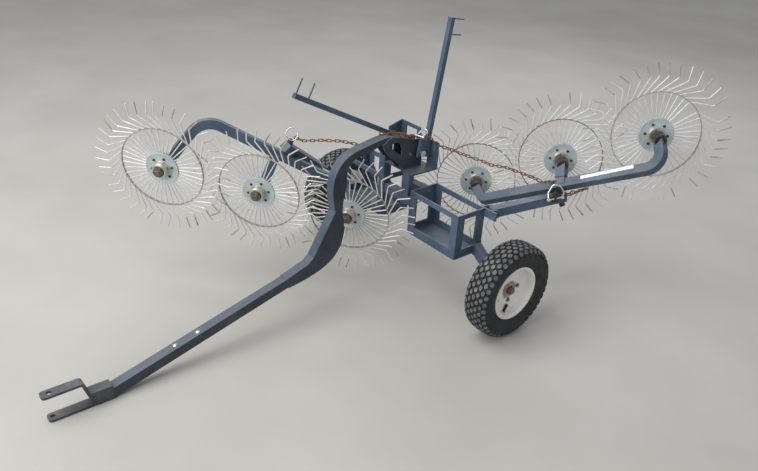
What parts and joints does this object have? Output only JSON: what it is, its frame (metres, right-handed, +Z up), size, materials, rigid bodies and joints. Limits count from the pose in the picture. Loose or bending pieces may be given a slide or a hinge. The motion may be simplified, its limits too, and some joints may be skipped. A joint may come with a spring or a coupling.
{
  "type": "wheel rake",
  "caption": "Tow-behind wheel rake with lifted gangs of wire finger wheels, a curved drawbar with a hitch clevis, open weight baskets and small road wheels.",
  "frame": {"origin": "middle of the upright hitch pin, halfway between the clevis's outer faces", "axes": "+X to the machine's left; +Y to the rear; +Z up, along the hitch pin"},
  "size_m": [1.6232, 2.4544, 1.1744],
  "materials": {
    "blue_paint": "worn slate-blue enamel, scratched and rusty at the edges",
    "galvanised": "dull zinc plate with light rust",
    "housing_steel": "grey-beige machined steel",
    "cream_rim": "off-white enamel with rust at the centre",
    "tyre_rubber": "dusty black rubber",
    "dark_steel": "dark oily steel, browned"
  },
  "bodies": {
    "chassis": {"hitch_clevis": "blue_paint", "drawbar_socket": "blue_paint", "drawbar_tube": "blue_paint", "drawbar_arch": "blue_paint", "left_tower_web": "blue_paint", "right_tower_web": "blue_paint", "tower_floor": "blue_paint", "left_lever_bracket": "blue_paint", "right_lever_bracket": "blue_paint", "left_basket": "blue_paint", "right_basket": "blue_paint", "cross_members": "blue_paint", "left_axle_leg": "blue_paint", "right_axle_leg": "blue_paint", "axle_nuts": "dark_steel", "lever_pins": "galvanised", "left_arm_fork": "blue_paint", "right_arm_fork": "blue_paint"},
    "left_road_wheel": {"left_tyre": "tyre_rubber", "left_rim": "cream_rim"},
    "right_road_wheel": {"right_tyre": "tyre_rubber", "right_rim": "cream_rim"},
    "left_lever": {"left_lift_lever": "blue_paint"},
    "right_lever": {"right_lift_lever": "blue_paint"},
    "left_gang": {"left_arm": "blue_paint", "left_gang_bar": "blue_paint", "left_gang_pin": "dark_steel", "left_spindles": "dark_steel"},
    "left_inner_finger_wheel": {"left_inner_hub": "housing_steel", "left_inner_tines": "galvanised"},
    "left_middle_finger_wheel": {"left_middle_hub": "housing_steel", "left_middle_tines": "galvanised"},
    "left_outer_finger_wheel": {"left_outer_hub": "housing_steel", "left_outer_tines": "galvanised"},
    "right_gang": {"right_arm": "blue_paint", "right_gang_bar": "blue_paint", "right_gang_pin": "dark_steel", "right_spindles": "dark_steel"},
    "right_outer_finger_wheel": {"right_outer_hub": "housing_steel", "right_outer_tines": "galvanised"},
    "right_middle_finger_wheel": {"right_middle_hub": "housing_steel", "right_middle_tines": "galvanised"},
    "right_inner_finger_wheel": {"right_inner_hub": "housing_steel", "right_inner_tines": "galvanised"}
  },
  "joints": [
    {"name": "left_road_wheel_spin", "type": "hinge", "parent": "chassis", "child": "left_road_wheel", "pos_m": [0.5125, 1.651, 0.148], "axis": [1, 0, 0], "continuous": true},
    {"name": "right_road_wheel_spin", "type": "hinge", "parent": "chassis", "child": "right_road_wheel", "pos_m": [-0.6125, 1.651, 0.148], "axis": [1, 0, 0], "continuous": true},
    {"name": "left_lever_tilt", "type": "hinge", "parent": "chassis", "child": "left_lever", "pos_m": [-0.006, 1.596, 0.567], "axis": [-1, 0, 0], "range_deg": [-95, 8]},
    {"name": "right_lever_tilt", "type": "hinge", "parent": "chassis", "child": "right_lever", "pos_m": [-0.094, 1.596, 0.567], "axis": [-1, 0, 0], "range_deg": [-8, 60]},
    {"name": "left_gang_lift", "type": "hinge", "parent": "chassis", "child": "left_gang", "pos_m": [0.342, 1.704, 0.41], "axis": [0.9206, -0.3905, 0], "range_deg": [-18, 0]},
    {"name": "left_inner_finger_wheel_spin", "type": "hinge", "parent": "left_gang", "child": "left_inner_finger_wheel", "pos_m": [0.05712, 1.89129, 0.39375], "axis": [-0.7156, 0.6973, -0.0398], "continuous": true},
    {"name": "left_middle_finger_wheel_spin", "type": "hinge", "parent": "left_gang", "child": "left_middle_finger_wheel", "pos_m": [0.3651, 2.0542, 0.5734], "axis": [-0.7156, 0.6973, -0.0398], "continuous": true},
    {"name": "left_outer_finger_wheel_spin", "type": "hinge", "parent": "left_gang", "child": "left_outer_finger_wheel", "pos_m": [0.67308, 2.21711, 0.75305], "axis": [-0.7156, 0.6973, -0.0398], "continuous": true},
    {"name": "right_gang_lift", "type": "hinge", "parent": "chassis", "child": "right_gang", "pos_m": [-0.402, 1.479, 0.245], "axis": [-0.9368, 0.3499, 0], "range_deg": [-18, 0]},
    {"name": "right_outer_finger_wheel_spin", "type": "hinge", "parent": "right_gang", "child": "right_outer_finger_wheel", "pos_m": [-0.51754, 0.67794, 0.51641], "axis": [0.6176, -0.775, -0.1339], "continuous": true},
    {"name": "right_middle_finger_wheel_spin", "type": "hinge", "parent": "right_gang", "child": "right_middle_finger_wheel", "pos_m": [-0.3213, 0.9999, 0.4092], "axis": [0.6176, -0.775, -0.1339], "continuous": true},
    {"name": "right_inner_finger_wheel_spin", "type": "hinge", "parent": "right_gang", "child": "right_inner_finger_wheel", "pos_m": [-0.12506, 1.32186, 0.30199], "axis": [0.6176, -0.775, -0.1339], "continuous": true}
  ]
}
